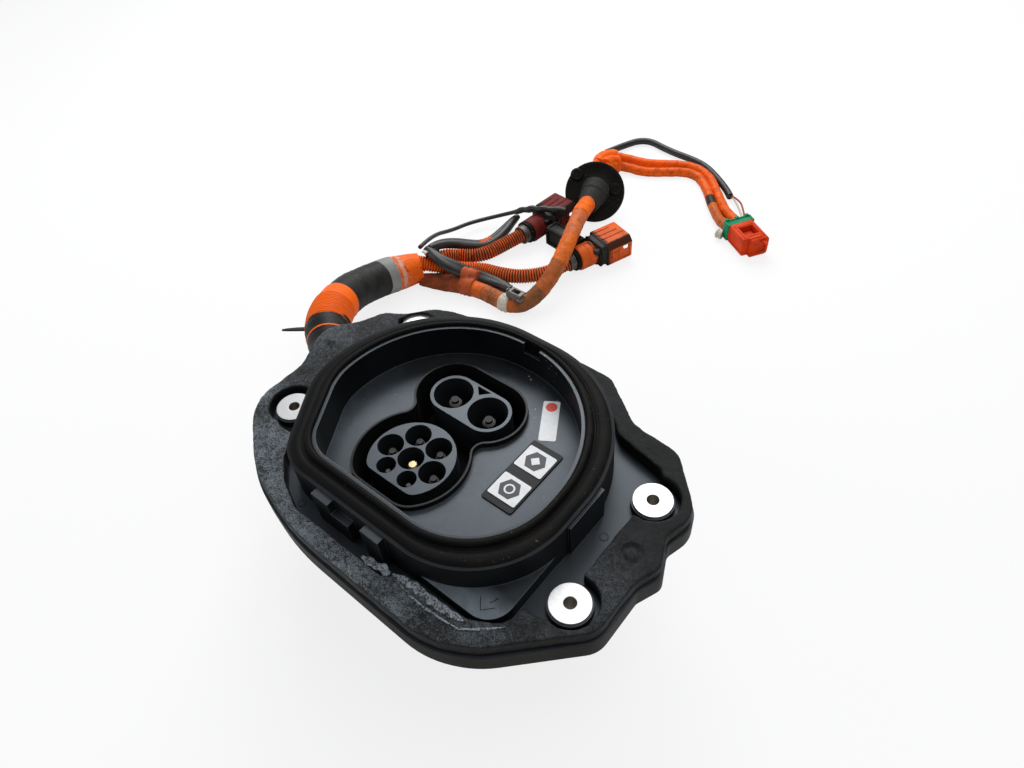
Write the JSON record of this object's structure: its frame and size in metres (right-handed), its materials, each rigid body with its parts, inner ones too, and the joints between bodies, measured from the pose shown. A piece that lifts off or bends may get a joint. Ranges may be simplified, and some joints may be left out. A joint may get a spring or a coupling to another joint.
{
  "type": "electric vehicle charging port",
  "caption": "Charging inlet with combined alternating and direct current contacts in a sealed bowl, foam-gasketed flange, locking bolt and an orange high-voltage harness with connectors.",
  "frame": {"origin": "on the underside of the rear cover, straight below the axis of the earth contact", "axes": "+Z out of the socket face along the plugging direction, +Y from the earth contact to the middle of the two direct-current contacts, +X to the right seen from the front"},
  "size_m": [0.3761, 0.5795, 0.1219],
  "materials": {
    "black_plastic": "moulded black plastic, satin",
    "contact_plastic": "fine black plastic",
    "seal_rubber": "dusty black rubber",
    "foam": "grainy black foam",
    "label_black": "black plastic",
    "label_white": "white printed film",
    "screw_steel": "zinc-plated steel",
    "lock_motor_steel": "steel",
    "lock_bolt_plastic": "black plastic",
    "contact_silver": "silver-plated",
    "contact_brass": "bare brass tip",
    "touch_cap": "light grey plastic",
    "sleeve_aluminium": "turned aluminium",
    "orange_plastic": "orange plastic, dirty",
    "red_plastic": "dark red plastic, dirty",
    "green_plastic": "green plastic",
    "white_plastic": "off-white plastic",
    "orange_cable": "orange sheath and tape, dirty",
    "black_sleeve": "black sleeving"
  },
  "bodies": {
    "port": {"inlet_housing": "black_plastic", "socket_shell": "black_plastic", "rear_cover": "black_plastic", "lock_housing": "black_plastic", "lock_cover": "black_plastic", "connector_bracket": "black_plastic", "orange_collar": "black_plastic", "red_collar": "black_plastic", "ac_contact_carrier": "contact_plastic", "dc_contact_carrier": "contact_plastic", "contact_retainer": "contact_plastic", "rim_seal": "seal_rubber", "rear_seal": "seal_rubber", "cable_gland": "seal_rubber", "orange_seal_ring": "seal_rubber", "red_seal_ring": "seal_rubber", "grommet": "seal_rubber", "foam_gasket": "foam", "label_pad": "label_black", "label_tiles": "label_white", "sticker": "label_white", "cover_screws": "screw_steel", "cable_clip": "screw_steel", "orange_clamp_ring": "screw_steel", "red_clamp_ring": "screw_steel", "lock_motor": "lock_motor_steel", "pin_ac_1": "contact_silver", "pin_ac_2": "contact_silver", "pin_ac_3": "contact_silver", "pin_ac_4": "contact_silver", "pin_dc_left": "contact_silver", "pin_dc_right": "contact_silver", "pin_signal_left": "contact_silver", "pin_signal_right": "contact_silver", "pin_earth": "contact_brass", "ac_touch_caps": "touch_cap", "dc_touch_caps": "touch_cap", "mounting_sleeve_1": "sleeve_aluminium", "mounting_sleeve_2": "sleeve_aluminium", "mounting_sleeve_3": "sleeve_aluminium", "mounting_sleeve_4": "sleeve_aluminium", "orange_barrel": "orange_plastic", "orange_box": "orange_plastic", "plug_body": "orange_plastic", "red_barrel": "red_plastic", "red_box": "red_plastic", "plug_lock_slab": "green_plastic", "white_plug": "white_plastic", "trunk_cable": "orange_cable", "red_conduit": "orange_cable", "orange_conduit": "orange_cable", "feed_cable": "orange_cable", "outer_ac_cable": "orange_cable", "inner_ac_cable": "orange_cable", "thin_lead": "black_sleeve", "upper_lead_sleeve": "black_sleeve", "lower_lead_sleeve": "black_sleeve", "signal_tube": "black_sleeve"},
    "lock_bolt": {"lock_bolt": "lock_bolt_plastic"},
    "lock_spindle": {"lock_spindle": "lock_motor_steel"}
  },
  "joints": [
    {"name": "lock_bolt_slide", "type": "slide", "parent": "port", "child": "lock_bolt", "axis": [0, 1, 0], "range_m": [0, 0.0065]},
    {"name": "lock_spindle_spin", "type": "hinge", "parent": "port", "child": "lock_spindle", "pos_m": [0, -0.045, 0.08], "axis": [0, 1, 0], "range_deg": [-5, 785]}
  ],
  "couplings": [
    {"joint": "lock_spindle_spin", "follows": "lock_bolt_slide", "rad_per_m": 2094.4}
  ]
}
